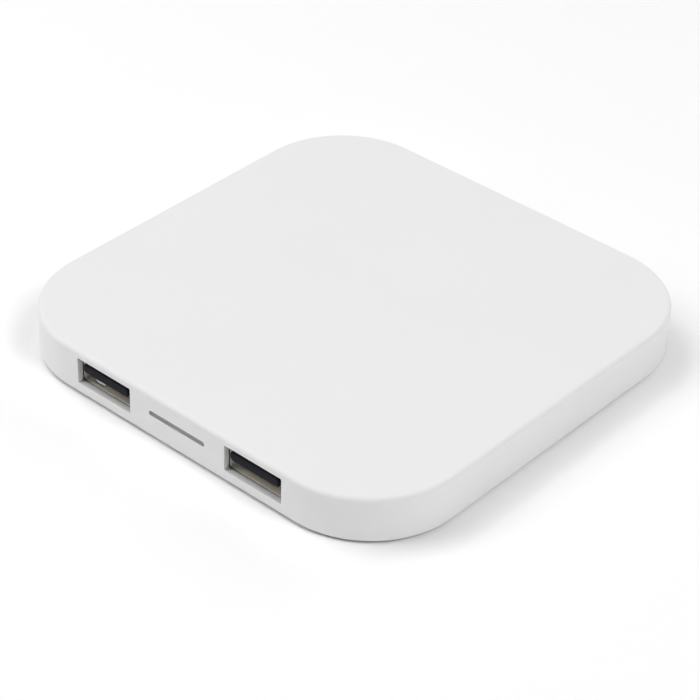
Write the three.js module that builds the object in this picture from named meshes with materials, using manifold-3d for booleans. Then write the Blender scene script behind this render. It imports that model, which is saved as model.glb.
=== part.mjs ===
// A square wireless charging pad with two USB-A outlets, modelled piece by piece.
// Millimetres, +Z up. The origin is on the table, under the middle of the pad.
// The outlets and the status light face -Y, and the power inlet faces +Y.

import * as THREE from "three";
import { mergeVertices } from "three/addons/utils/BufferGeometryUtils.js";
import Module from "manifold-3d";

const wasm = await Module();
wasm.setup();

// ---------------------------------------------------------------- driving dimensions

// Body
const SIDE = 90;
const CORNER_RADIUS = 18.2;
const BODY_HEIGHT = 8.9;
const TOP_ROUNDING = 0.9;
const RIM_ROUNDING = 0.3;
const WALL = 1.2;
const ROOF = 1.2;

// Feet, cover and screws, one set in each corner
const LIFT = 0.5;
const CORNER_OFFSET = 33;
const FOOT_RADIUS = 4.5;
const FOOT_THICKNESS = 1.2;
const FOOT_ROUNDING = 0.25;
const COVER_INSET = 0.2;
const COVER_THICKNESS = 1.2;
const COVER_GAP = 0.15;
const COVER_BOSS_RADIUS = 3.8;
const COVER_RIBS = { places: [-20, 0, 20], halfLength: 38, halfWidth: 0.5, rise: 0.35 };
const SHELL_BOSS_RADIUS = 2.7;
const SCREW_HEAD_RADIUS = 1.9;
const SCREW_HEAD_HEIGHT = 0.8;
const SCREW_RADIUS = 0.9;
const SCREW_END = 7;
const SCREW_TIP = 0.7;
const SCREW_CROSS = { reach: 1.1, halfWidth: 0.25, depth: 0.5 };

// Circuit board
const BOARD_BOTTOM = 3.4;
const BOARD_THICKNESS = 1;
const BOARD_WIDTH = 84;
const BOARD_FRONT = -41.5;
const BOARD_BACK = 43.4;
const BOARD_CORNER = 15;

// USB-A outlets
const OUTLET_OFFSET = 17.5;
const OUTLET_CENTRE_Z = 5.15;
const OUTLET_OPENING = { width: 12.8, height: 5.2, corner: 0.25 };
const OUTLET_MOUTH = { width: 12.5, height: 5.12, corner: 0.35 };
const SHEET_METAL = 0.3;
const OUTLET_LENGTH = 12.6;
const MOUTH_GAP = 0.3;
const OUTLET_TABS = { setbacks: [3.7, 9.7], length: 2.2, reach: 1.3 };
const OUTLET_BLOCK_LENGTH = 4.5;
const TONGUE = { width: 11.1, height: 1.84, corner: 0.75, top: 6.89, tip: 0.4 };
const CONTACT_X = [-3.5, -1, 1, 3.5];
const CONTACT = { width: 1, thickness: 0.22, setback: 1, foot: 1.2, gap: 0.05 };

// Status light
const SLIT = { width: 13, height: 1, corner: 0.48, centreZ: 5.27 };
const GUIDE = { gap: 0.1, recess: 0.2, flangeLip: 1.2, flangeDepth: 1.4 };
const LED = { width: 3, depth: 1.1, height: 1.2, offset: 3.4, windowEdge: 0.4, windowSill: 0.3, dish: 0.25 };

// Power inlet
const INLET_OPENING = { width: 8.2, height: 3.3, corner: 1.1 };
const INLET = { width: 7.5, height: 2.6, length: 5.6, bevel: 0.9, recess: 0.4 };
const INLET_TABS = { setbacks: [0.6, 2.6], length: 1.2, reach: 1 };
const INLET_BLOCK_LENGTH = 1.3;
const INLET_TONGUE = { halfWidth: 1.85, bottom: -0.1, top: 0.5, setback: 0.7 };
const INLET_CONTACT = { width: 0.3, thickness: 0.15, drop: 0.15, reach: 4.2, foot: 0.8, bend: 0.5 };
const INLET_CONTACT_PITCH = 0.65;

// Charging coil, ferrite sheet and adhesive disc
const COIL_Z = 7.4;
const WIRE_RADIUS = 0.5;
const COIL_INNER = 10.8;
const COIL_PITCH = 1.175;
const COIL_START_DEGREES = 200;
const COIL_END_DEGREES = 60;
const COIL_FULL_TURNS = 9;
const POINTS_PER_TURN = 20;
const COIL_STEPS = 330;
const LEAD_X = 3;
const LEAD_END_Y = 32.6;
const FERRITE = { side: 50, bottom: 6, thickness: 0.8, corner: 2 };
const FERRITE_SLOT = { halfWidth: 0.9, from: 4, to: 30 };
const FERRITE_RIB = { gap: 0.2, thickness: 0.8, leg: 5 };
const ADHESIVE = { radius: 23, bottom: 7.95, thickness: 0.2 };

// Board components, as length, width and height, and where each one stands
const CRYSTAL = { width: 3.2, depth: 2.5, y: -36.5 };
const PORT_CONTROLLER = { size: [9.9, 3.9, 1.5], legsPerSide: 8, y: -29.5 };
const BRIDGE_CHIP = { size: [4.9, 3.9, 1.4], legsPerSide: 4, places: [0, -9.5] };
const LEG_PITCH = 1.27;
const WIRELESS_CONTROLLER = { side: 6, height: 0.9, y: 10 };
const POWER_COLUMN_X = 33;
const RESONANT_CAPACITOR = { size: [3.2, 2.5, 1.6], count: 4, firstY: 2, pitch: 4.2 };
const CHOKE = { side: 5, height: 2, y: -8 };
const INPUT_CAPACITOR = { size: [3.2, 1.6, 1.2], offset: 12, y: 37 };

// Cutting bodies reach past the surface they cut, and joined bodies reach into each other
const PAST = 1;
const OVERLAP = 0.4;

// Places worked out from the dimensions above
const FRONT = -SIDE / 2;
const BACK = SIDE / 2;
const BODY_TOP = LIFT + BODY_HEIGHT;
const CEILING = BODY_TOP - ROOF;
const COVER_BOTTOM = LIFT + COVER_INSET;
const COVER_TOP = COVER_BOTTOM + COVER_THICKNESS;
const BOARD_TOP = BOARD_BOTTOM + BOARD_THICKNESS;
const FIT_GAP = 0.1;
const RECESS_TOP = FOOT_THICKNESS + FIT_GAP / 2;
const SCREW_HEAD_BOTTOM = RECESS_TOP + FIT_GAP;
const SCREW_HEAD_TOP = SCREW_HEAD_BOTTOM + SCREW_HEAD_HEIGHT;
const OUTLET_FRONT = FRONT + WALL + MOUTH_GAP;
const OUTLET_BACK = OUTLET_FRONT + OUTLET_LENGTH;
const OUTLET_BLOCK_FRONT = OUTLET_BACK - OUTLET_BLOCK_LENGTH;
const TONGUE_BOTTOM = TONGUE.top - TONGUE.height;
const SOLDER_GAP = 0.05;
const CHIP_Z = BOARD_TOP + SOLDER_GAP;
const INLET_CENTRE_Z = CHIP_Z + INLET.height / 2;
const INLET_FRONT = BACK - INLET.recess;
const INLET_REAR = INLET_FRONT - INLET.length;
const INLET_CONTACT_X = [-2, -1, 0, 1, 2].map((step) => step * INLET_CONTACT_PITCH);

const CORNERS = [
  { name: "front_left", x: -CORNER_OFFSET, y: -CORNER_OFFSET },
  { name: "front_right", x: CORNER_OFFSET, y: -CORNER_OFFSET },
  { name: "back_left", x: -CORNER_OFFSET, y: CORNER_OFFSET },
  { name: "back_right", x: CORNER_OFFSET, y: CORNER_OFFSET },
];
const OUTLETS = [
  { name: "left", x: -OUTLET_OFFSET },
  { name: "right", x: OUTLET_OFFSET },
];

// ---------------------------------------------------------------- solids and booleans

// Turns a closed geometry into a solid that can be joined and cut.
function solid(geometry) {
  const bare = geometry.clone();
  bare.deleteAttribute("normal");
  bare.deleteAttribute("uv");
  const merged = mergeVertices(bare, 1e-4);
  const corners = merged.index.array;
  const kept = [];
  for (let i = 0; i < corners.length; i += 3) {
    const [a, b, c] = [corners[i], corners[i + 1], corners[i + 2]];
    if (a !== b && b !== c && c !== a) kept.push(a, b, c);
  }
  return new wasm.Manifold(new wasm.Mesh({
    numProp: 3,
    vertProperties: merged.attributes.position.array,
    triVerts: Uint32Array.from(kept),
  }));
}

function geometryOf(shape) {
  const mesh = shape.getMesh();
  const geometry = new THREE.BufferGeometry();
  geometry.setAttribute("position", new THREE.BufferAttribute(mesh.vertProperties, 3));
  geometry.setIndex(new THREE.BufferAttribute(mesh.triVerts, 1));
  geometry.computeVertexNormals();
  return geometry;
}

function join(shapes) {
  return shapes.reduce((whole, shape) => whole.add(shape));
}

function cut(whole, shapes) {
  return shapes.reduce((rest, shape) => rest.subtract(shape), whole);
}

// A box given by its lowest and highest corner.
function box(low, high) {
  const size = high.map((value, axis) => value - low[axis]);
  const geometry = new THREE.BoxGeometry(...size);
  geometry.translate(...low.map((value, axis) => value + size[axis] / 2));
  return solid(geometry);
}

// An upright cylinder between two heights.
function post(x, y, bottom, top, radius, sides = 20) {
  const geometry = new THREE.CylinderGeometry(radius, radius, top - bottom, sides);
  geometry.rotateX(Math.PI / 2);
  geometry.translate(x, y, (bottom + top) / 2);
  return solid(geometry);
}

// A turned solid about the Z axis. Its profile of [radius, height] pairs starts and ends on the axis.
function turned(profile, sides = 28) {
  const points = profile.map(([radius, height]) => new THREE.Vector2(radius, height));
  const geometry = new THREE.LatheGeometry(points, sides);
  geometry.rotateX(Math.PI / 2);
  return solid(geometry);
}

function roundedRectangle(width, height, radius) {
  const x = width / 2 - radius;
  const y = height / 2 - radius;
  const shape = new THREE.Shape();
  shape.absarc(x, y, radius, 0, Math.PI / 2);
  shape.absarc(-x, y, radius, Math.PI / 2, Math.PI);
  shape.absarc(-x, -y, radius, Math.PI, 1.5 * Math.PI);
  shape.absarc(x, -y, radius, 1.5 * Math.PI, 2 * Math.PI);
  return shape;
}

// A plate with rounded corners between two heights, whose top and bottom edges are rounded by edge.
function plate(width, depth, corner, bottom, top, edge = 0) {
  const geometry = new THREE.ExtrudeGeometry(roundedRectangle(width, depth, corner), {
    depth: top - bottom - 2 * edge,
    curveSegments: corner > 5 ? 6 : 3,
    bevelEnabled: edge > 0,
    bevelThickness: edge,
    bevelSize: edge,
    bevelOffset: -edge,
    bevelSegments: 4,
  });
  geometry.translate(0, 0, bottom + edge);
  return solid(geometry);
}

// A bar of constant section along Y. The section is drawn in X and Z.
function barAlongY(section, front, back, x = 0, z = 0) {
  const depth = back - front;
  const geometry = new THREE.ExtrudeGeometry(section, { depth, bevelEnabled: false, curveSegments: 2 });
  geometry.rotateX(Math.PI / 2);
  geometry.translate(x, back, z);
  return solid(geometry);
}

function roundedBar(size, front, back, x, z) {
  return barAlongY(roundedRectangle(size.width, size.height, size.corner), front, back, x, z);
}

// A strip of the given width along X, whose outline is drawn as [y, z] points.
function strip(outline, width, x) {
  const section = new THREE.Shape(outline.map(([y, z]) => new THREE.Vector2(y, z)));
  const geometry = new THREE.ExtrudeGeometry(section, { depth: width, bevelEnabled: false });
  geometry.rotateY(Math.PI / 2);
  geometry.rotateX(Math.PI / 2);
  geometry.translate(x - width / 2, 0, 0);
  return solid(geometry);
}

// ---------------------------------------------------------------- materials

function plastic(color, roughness = 0.5) {
  return new THREE.MeshStandardMaterial({ color, roughness, metalness: 0 });
}

function metal(color, roughness = 0.35) {
  return new THREE.MeshStandardMaterial({ color, roughness, metalness: 1 });
}

// ---------------------------------------------------------------- housing

// A flat-topped moulding, hollow from below, with four screw bosses and ribs that locate the ferrite.
function topShell() {
  const rounded = plate(SIDE, SIDE, CORNER_RADIUS, LIFT - PAST - TOP_ROUNDING, BODY_TOP, TOP_ROUNDING);
  const rimmed = plate(SIDE, SIDE, CORNER_RADIUS, LIFT, BODY_TOP + PAST, RIM_ROUNDING);
  const inside = SIDE - 2 * WALL;
  const hollow = plate(inside, inside, CORNER_RADIUS - WALL, LIFT - PAST, CEILING);
  const bosses = CORNERS.map(({ x, y }) => post(x, y, BOARD_BOTTOM, CEILING + OVERLAP, SHELL_BOSS_RADIUS));
  const holeRadius = SCREW_RADIUS + FIT_GAP;
  const holeEnd = SCREW_END + 3 * FIT_GAP;
  const screwHoles = CORNERS.map(({ x, y }) => post(x, y, BOARD_BOTTOM - PAST, holeEnd, holeRadius, 16));
  const outletOpenings = OUTLETS.map(({ x }) =>
    roundedBar(OUTLET_OPENING, FRONT - PAST, FRONT + WALL + PAST, x, OUTLET_CENTRE_Z));
  const slit = roundedBar(SLIT, FRONT - PAST, FRONT + WALL + PAST, 0, SLIT.centreZ);
  const inletOpening = roundedBar(INLET_OPENING, BACK - WALL - PAST, BACK + PAST, 0, INLET_CENTRE_Z);
  const walls = cut(rounded.intersect(rimmed), [hollow]);
  const fitted = join([walls, ...bosses, ...ferriteRibs()]);
  return cut(fitted, [...screwHoles, ...outletOpenings, slit, inletOpening]);
}

// L-shaped ribs under the ceiling, one at each corner of the ferrite sheet.
function ferriteRibs() {
  const inner = FERRITE.side / 2 + FERRITE_RIB.gap;
  const outer = inner + FERRITE_RIB.thickness;
  const low = FERRITE.bottom;
  const high = CEILING + OVERLAP;
  return CORNERS.flatMap(({ x, y }) => {
    const [sx, sy] = [Math.sign(x), Math.sign(y)];
    const span = (sign, from) => [sign * from, sign * outer].sort((a, b) => a - b);
    const [spanX, spanY] = [span(sx, outer - FERRITE_RIB.leg), span(sy, outer - FERRITE_RIB.leg)];
    const [acrossX, acrossY] = [span(sx, inner), span(sy, inner)];
    return [
      box([acrossX[0], spanY[0], low], [acrossX[1], spanY[1], high]),
      box([spanX[0], acrossY[0], low], [spanX[1], acrossY[1], high]),
    ];
  });
}

// A flat plate inside the rim, with a foot recess, a screw pocket and a boss in each corner.
function baseCover() {
  const side = SIDE - 2 * (WALL + COVER_GAP);
  const sheet = plate(side, side, CORNER_RADIUS - WALL - COVER_GAP, COVER_BOTTOM, COVER_TOP);
  const bossTop = BOARD_BOTTOM - SOLDER_GAP;
  const bosses = CORNERS.map(({ x, y }) => post(x, y, COVER_TOP - OVERLAP, bossTop, COVER_BOSS_RADIUS));
  const { places, halfLength, halfWidth, rise } = COVER_RIBS;
  const ribs = places.map((x) =>
    box([x - halfWidth, -halfLength, COVER_TOP - OVERLAP], [x + halfWidth, halfLength, COVER_TOP + rise]));
  const recessRadius = FOOT_RADIUS + 1.5 * FIT_GAP;
  const pocketRadius = SCREW_HEAD_RADIUS + 2 * FIT_GAP;
  const recesses = CORNERS.map(({ x, y }) => post(x, y, 0, RECESS_TOP, recessRadius, 28));
  const pockets = CORNERS.map(({ x, y }) => post(x, y, 0, SCREW_HEAD_TOP + FIT_GAP / 2, pocketRadius));
  const holes = CORNERS.map(({ x, y }) => post(x, y, 0, bossTop + PAST, SCREW_RADIUS + 2 * FIT_GAP, 16));
  return cut(join([sheet, ...bosses, ...ribs]), [...recesses, ...pockets, ...holes]);
}

// A rubber disc with a rounded lower edge.
function foot() {
  return turned([
    [0, 0],
    [FOOT_RADIUS - FOOT_ROUNDING, 0],
    [FOOT_RADIUS - FOOT_ROUNDING * 0.3, FOOT_ROUNDING * 0.3],
    [FOOT_RADIUS, FOOT_ROUNDING],
    [FOOT_RADIUS, FOOT_THICKNESS],
    [0, FOOT_THICKNESS],
  ]);
}

// A pan-head screw that points up, with a cross recess in its head.
function screw() {
  const headBevel = 0.3;
  const body = turned([
    [0, SCREW_HEAD_BOTTOM],
    [SCREW_HEAD_RADIUS - headBevel, SCREW_HEAD_BOTTOM],
    [SCREW_HEAD_RADIUS, SCREW_HEAD_BOTTOM + headBevel],
    [SCREW_HEAD_RADIUS, SCREW_HEAD_TOP],
    [SCREW_RADIUS, SCREW_HEAD_TOP],
    [SCREW_RADIUS, SCREW_END - SCREW_TIP],
    [SCREW_RADIUS * 0.4, SCREW_END],
    [0, SCREW_END],
  ], 16);
  const { reach, halfWidth, depth } = SCREW_CROSS;
  const crossTop = SCREW_HEAD_BOTTOM + depth;
  return cut(body, [
    box([-reach, -halfWidth, 0], [reach, halfWidth, crossTop]),
    box([-halfWidth, -reach, 0], [halfWidth, reach, crossTop]),
  ]);
}

// ---------------------------------------------------------------- status light

// A clear bar that fills the slit, with a wider flange behind the wall.
function lightGuide() {
  const { gap, recess, flangeLip, flangeDepth } = GUIDE;
  const bar = { width: SLIT.width - 2 * gap, height: SLIT.height - 2 * gap, corner: SLIT.corner - gap };
  const flangeFront = FRONT + WALL + FIT_GAP;
  const reach = SLIT.width / 2 + flangeLip;
  const flange = box(
    [-reach, flangeFront, SLIT.centreZ - flangeLip],
    [reach, flangeFront + flangeDepth, SLIT.centreZ + flangeLip],
  );
  return roundedBar(bar, FRONT + recess, flangeFront + OVERLAP, 0, SLIT.centreZ).add(flange);
}

// A side-firing LED, which shines towards -Y through a dished window.
function statusLed() {
  const { width, depth, height, windowEdge, windowSill, dish } = LED;
  const body = box([-width / 2, 0, 0], [width / 2, depth, height]);
  const windowHalf = width / 2 - windowEdge;
  return body.subtract(box([-windowHalf, -PAST, windowSill], [windowHalf, dish, height - windowSill]));
}

// ---------------------------------------------------------------- circuit board

// The board, with slots for the outlets and a hole round each boss.
function mainBoard() {
  const depth = BOARD_BACK - BOARD_FRONT;
  const sheet = plate(BOARD_WIDTH, depth, BOARD_CORNER, BOARD_BOTTOM, BOARD_TOP)
    .translate([0, (BOARD_BACK + BOARD_FRONT) / 2, 0]);
  const slotHalf = OUTLET_MOUTH.width / 2 + SHEET_METAL + 2 * FIT_GAP;
  const slotBack = OUTLET_BACK + 3 * FIT_GAP;
  const slots = OUTLETS.map(({ x }) => box([x - slotHalf, FRONT, 0], [x + slotHalf, slotBack, BODY_TOP]));
  const holes = CORNERS.map(({ x, y }) => post(x, y, 0, BODY_TOP, SHELL_BOSS_RADIUS + 2 * FIT_GAP));
  return cut(sheet, [...slots, ...holes]);
}

// ---------------------------------------------------------------- USB-A outlets

// A tube of folded sheet metal, open at both ends, with four solder tabs.
function outletShell(x) {
  const outside = {
    width: OUTLET_MOUTH.width + 2 * SHEET_METAL,
    height: OUTLET_MOUTH.height + 2 * SHEET_METAL,
    corner: OUTLET_MOUTH.corner + SHEET_METAL,
  };
  const tube = roundedBar(outside, OUTLET_FRONT, OUTLET_BACK, x, OUTLET_CENTRE_Z);
  const bore = roundedBar(OUTLET_MOUTH, OUTLET_FRONT - PAST, OUTLET_BACK + PAST, x, OUTLET_CENTRE_Z);
  const reach = outside.width / 2 + OUTLET_TABS.reach;
  const tabs = OUTLET_TABS.setbacks.map((setback) => {
    const front = OUTLET_FRONT + setback;
    return box([x - reach, front, CHIP_Z], [x + reach, front + OUTLET_TABS.length, CHIP_Z + SHEET_METAL]);
  });
  return cut(tube.add(join(tabs)), [bore]);
}

// The black insulator: a block at the back of the shell, and the tongue that holds the contacts.
function outletInsulator(x) {
  const block = {
    width: OUTLET_MOUTH.width - 2 * FIT_GAP,
    height: OUTLET_MOUTH.height - 2 * FIT_GAP,
    corner: OUTLET_MOUTH.corner,
  };
  const tongueZ = TONGUE.top - TONGUE.height / 2;
  const body = join([
    roundedBar(TONGUE, FRONT + TONGUE.tip, OUTLET_BLOCK_FRONT + OVERLAP, x, tongueZ),
    roundedBar(block, OUTLET_BLOCK_FRONT, OUTLET_BACK - SHEET_METAL, x, OUTLET_CENTRE_Z),
  ]);
  const slotHalf = CONTACT.width / 2 + 1.5 * FIT_GAP;
  const slotBottom = TONGUE_BOTTOM - CONTACT.gap - CONTACT.thickness - 1.3 * FIT_GAP;
  const slotTop = TONGUE_BOTTOM + CONTACT.gap;
  const slots = CONTACT_X.map((dx) => box(
    [x + dx - slotHalf, OUTLET_BLOCK_FRONT - PAST, slotBottom],
    [x + dx + slotHalf, OUTLET_BACK + PAST, slotTop],
  ));
  return cut(body, slots);
}

// A contact strip under the tongue, stepped down to the board behind the shell.
function outletContact(x) {
  const { width, thickness, setback, foot, gap } = CONTACT;
  const front = FRONT + TONGUE.tip + setback;
  const top = TONGUE_BOTTOM - gap;
  const bend = OUTLET_BACK + 5 * FIT_GAP;
  return strip([
    [front, top - thickness],
    [bend, top - thickness],
    [bend, CHIP_Z],
    [bend + foot, CHIP_Z],
    [bend + foot, CHIP_Z + thickness],
    [bend + thickness, CHIP_Z + thickness],
    [bend + thickness, top],
    [front, top],
  ], width, x);
}

// ---------------------------------------------------------------- power inlet

// The inlet's outline: flat on top, with its two lower corners cut off.
function inletSection(width, height, bevel) {
  const [x, z] = [width / 2, height / 2];
  return new THREE.Shape([
    new THREE.Vector2(-x, z),
    new THREE.Vector2(-x, -z + bevel),
    new THREE.Vector2(-x + bevel, -z),
    new THREE.Vector2(x - bevel, -z),
    new THREE.Vector2(x, -z + bevel),
    new THREE.Vector2(x, z),
  ].reverse());
}

// The outline taken in by inset on every side.
function inletOutline(inset) {
  return inletSection(INLET.width - 2 * inset, INLET.height - 2 * inset, INLET.bevel - inset / 2);
}

function inletShell() {
  const tube = barAlongY(inletOutline(0), INLET_REAR, INLET_FRONT, 0, INLET_CENTRE_Z);
  const boreOutline = inletOutline(SHEET_METAL);
  const bore = barAlongY(boreOutline, INLET_REAR - PAST, INLET_FRONT + PAST, 0, INLET_CENTRE_Z);
  const reach = INLET.width / 2 + INLET_TABS.reach;
  const tabs = INLET_TABS.setbacks.map((setback) => {
    const rear = INLET_REAR + setback;
    return box([-reach, rear, CHIP_Z], [reach, rear + INLET_TABS.length, CHIP_Z + SHEET_METAL]);
  });
  return cut(tube.add(join(tabs)), [bore]);
}

function inletInsulator() {
  const rear = INLET_REAR + 2 * FIT_GAP;
  const blockFront = rear + INLET_BLOCK_LENGTH;
  const block = barAlongY(inletOutline(SHEET_METAL + FIT_GAP), rear, blockFront, 0, INLET_CENTRE_Z);
  const { halfWidth, bottom, top, setback } = INLET_TONGUE;
  const tongue = box(
    [-halfWidth, blockFront - OVERLAP, INLET_CENTRE_Z + bottom],
    [halfWidth, INLET_FRONT - setback, INLET_CENTRE_Z + top],
  );
  const slotHalf = INLET_CONTACT.width / 2 + FIT_GAP;
  const slotBottom = INLET_CENTRE_Z - INLET_CONTACT.drop - INLET_CONTACT.thickness - 2 * FIT_GAP;
  const slots = INLET_CONTACT_X.map((x) => box(
    [x - slotHalf, rear - PAST, slotBottom],
    [x + slotHalf, blockFront + FIT_GAP, INLET_CENTRE_Z + bottom],
  ));
  return cut(block.add(tongue), slots);
}

// A contact strip under the inlet's tongue, stepped down to the board behind the shell.
function inletContact(x) {
  const { width, thickness, drop, reach, foot, bend } = INLET_CONTACT;
  const top = INLET_CENTRE_Z - drop;
  const step = INLET_REAR - bend;
  return strip([
    [INLET_REAR + reach, top - thickness],
    [INLET_REAR + reach, top],
    [step - thickness, top],
    [step - thickness, CHIP_Z + thickness],
    [step - foot, CHIP_Z + thickness],
    [step - foot, CHIP_Z],
    [step, CHIP_Z],
    [step, top - thickness],
  ], width, x);
}

// ---------------------------------------------------------------- coil stack

// The wire's centreline: in from the board under the turns, round the spiral, and back out to the board.
function coilPath() {
  const under = COIL_Z - 1.2;
  const leadEnd = BOARD_TOP + WIRE_RADIUS + SOLDER_GAP;
  const innerLead = [
    [-LEAD_X, LEAD_END_Y, leadEnd], [-LEAD_X, 30.8, leadEnd], [-LEAD_X, 28.8, leadEnd + 0.4],
    [-LEAD_X, 26.4, under - 0.1],
    [-LEAD_X, 23, under], [-LEAD_X, 17, under], [-LEAD_X, 11.5, under], [-LEAD_X, 9.6, under + 0.1],
    [-LEAD_X, 7.8, COIL_Z - 0.4], [-LEAD_X - 0.2, 5.6, COIL_Z], [-4.9, 3, COIL_Z], [-7.4, 0.4, COIL_Z],
    [-9.3, -1.9, COIL_Z],
  ];
  const turns = COIL_FULL_TURNS + (COIL_END_DEGREES + 360 - COIL_START_DEGREES) / 360;
  const samples = Math.round(turns * POINTS_PER_TURN);
  const spiral = [];
  for (let i = 0; i <= samples; i += 1) {
    const turn = (turns * i) / samples;
    const radius = COIL_INNER + COIL_PITCH * turn;
    const angle = THREE.MathUtils.degToRad(COIL_START_DEGREES + 360 * turn);
    spiral.push([radius * Math.cos(angle), radius * Math.sin(angle), COIL_Z]);
  }
  const outerLead = [
    [7.4, 21.3, COIL_Z], [4.8, 23.2, COIL_Z], [LEAD_X + 0.4, 25.4, COIL_Z], [LEAD_X, 27.4, COIL_Z - 0.8],
    [LEAD_X, 29, COIL_Z - 1.9], [LEAD_X, 30.6, leadEnd + 0.1], [LEAD_X, LEAD_END_Y, leadEnd],
  ];
  const points = [...innerLead, ...spiral, ...outerLead].map((place) => new THREE.Vector3(...place));
  return new THREE.CatmullRomCurve3(points, false, "centripetal");
}

function chargingCoil() {
  const section = new THREE.Shape();
  section.absarc(0, 0, WIRE_RADIUS, 0, 2 * Math.PI);
  const sweep = { steps: COIL_STEPS, extrudePath: coilPath(), curveSegments: 3 };
  return solid(new THREE.ExtrudeGeometry(section, sweep));
}

// A square sheet, slotted for the coil's inner lead.
function ferriteSheet() {
  const { side, bottom, thickness, corner } = FERRITE;
  const { halfWidth, from, to } = FERRITE_SLOT;
  const sheet = plate(side, side, corner, bottom, bottom + thickness);
  return sheet.subtract(box([-LEAD_X - halfWidth, from, 0], [-LEAD_X + halfWidth, to, BODY_TOP]));
}

// ---------------------------------------------------------------- board components

// A moulded chip with gull-wing legs along its two long sides.
function leggedChip(length, width, height, legsPerSide, pitch) {
  const [standOff, legThickness, reach] = [0.1, 0.15, 0.95];
  const half = width / 2;
  const waist = height * 0.55;
  const body = strip([
    [-half + 0.1, standOff], [half - 0.1, standOff], [half, waist],
    [half - 0.15, height], [-half + 0.15, height], [-half, waist],
  ], length, 0);
  const legs = [];
  for (let i = 0; i < legsPerSide; i += 1) {
    const x = (i - (legsPerSide - 1) / 2) * pitch;
    for (const side of [-1, 1]) {
      const outline = [
        [half - 0.3, waist - legThickness], [half + 0.3, waist - legThickness],
        [half + 0.4, 0], [half + reach, 0], [half + reach, legThickness],
        [half + 0.52, legThickness], [half + 0.42, waist], [half - 0.3, waist],
      ];
      const mirrored = outline.map(([y, z]) => [-y, z]).reverse();
      legs.push(strip(side > 0 ? outline : mirrored, 0.4, x));
    }
  }
  const pinMark = post(-length / 2 + 0.9, -half + 0.9, height - 0.1, height + 1, 0.35, 12);
  return cut(join([body, ...legs]), [pinMark]);
}

// A leadless chip: a flat block with a dimple at its first pad.
function flatChip(side, height) {
  const body = plate(side, side, 0.15, 0, height);
  return body.subtract(post(-side / 2 + 0.8, side / 2 - 0.8, height - 0.08, height + 1, 0.3, 12));
}

// A ceramic block between two slightly larger metal ends.
function chipCapacitor(length, width, height) {
  const end = length * 0.18;
  const lip = 0.06;
  const middle = length / 2 - FIT_GAP;
  return join([
    box([-middle, -width / 2 + lip, lip], [middle, width / 2 - lip, height - lip]),
    box([-length / 2, -width / 2, 0], [-length / 2 + end, width / 2, height]),
    box([length / 2 - end, -width / 2, 0], [length / 2, width / 2, height]),
  ]);
}

// A square choke with a round winding under its lid.
function choke(side, height) {
  const [flange, corner, windingInset] = [0.6, 0.9, 0.7];
  return join([
    plate(side, side, corner, 0, flange),
    post(0, 0, OVERLAP, height - OVERLAP, side / 2 - windingInset),
    plate(side, side, corner, height - flange, height),
  ]);
}

// A metal can on a slightly wider base.
function crystal() {
  const [baseTop, canTop, inset] = [0.35, 0.8, 0.15];
  const base = plate(CRYSTAL.width, CRYSTAL.depth, 0.2, 0, baseTop);
  const can = plate(CRYSTAL.width - 2 * inset, CRYSTAL.depth - 2 * inset, 0.35, baseTop - 0.05, canTop);
  return base.add(can);
}

// ---------------------------------------------------------------- assembly

const pad = new THREE.Group();

function place(name, shape, material, x = 0, y = 0, z = 0) {
  const mesh = new THREE.Mesh(geometryOf(shape), material);
  mesh.name = name;
  mesh.position.set(x, y, z);
  pad.add(mesh);
}

const WHITE = 0xf4f4f4;
const BLACK = 0x151515;
const STEEL = 0xb9babd;
const GOLD = 0xd6b25a;

place("top_shell", topShell(), plastic(WHITE));
place("base_cover", baseCover(), plastic(WHITE, 0.6));
for (const { name, x, y } of CORNERS) {
  place(`foot_${name}`, foot(), plastic(0x8d8f91, 0.85), x, y);
  place(`screw_${name}`, screw(), metal(0x9a9a9c), x, y);
}

place("light_guide", lightGuide(), plastic(0x8f9092, 0.3));
place("status_led_left", statusLed(), plastic(0xf2f0e6, 0.35), -LED.offset, BOARD_FRONT + FIT_GAP, CHIP_Z);
place("status_led_right", statusLed(), plastic(0xf2f0e6, 0.35), LED.offset, BOARD_FRONT + FIT_GAP, CHIP_Z);
place("main_board", mainBoard(), plastic(0x1f6b3a, 0.4));

for (const { name, x } of OUTLETS) {
  place(`usb_a_shell_${name}`, outletShell(x), metal(STEEL));
  place(`usb_a_insulator_${name}`, outletInsulator(x), plastic(BLACK));
  CONTACT_X.forEach((dx, i) => {
    place(`usb_a_contact_${name}_${i + 1}`, outletContact(x + dx), metal(GOLD, 0.25));
  });
}

place("micro_usb_shell", inletShell(), metal(STEEL));
place("micro_usb_insulator", inletInsulator(), plastic(BLACK));
INLET_CONTACT_X.forEach((x, i) => place(`micro_usb_contact_${i + 1}`, inletContact(x), metal(GOLD, 0.25)));

place("charging_coil", chargingCoil(), metal(0xb5683a, 0.4));
place("ferrite_sheet", ferriteSheet(), plastic(0x3a3a3d, 0.7));
const adhesiveTop = ADHESIVE.bottom + ADHESIVE.thickness;
const adhesive = post(0, 0, ADHESIVE.bottom, adhesiveTop, ADHESIVE.radius, 48);
place("coil_adhesive", adhesive, plastic(0xe9e4d2, 0.6));

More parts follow.
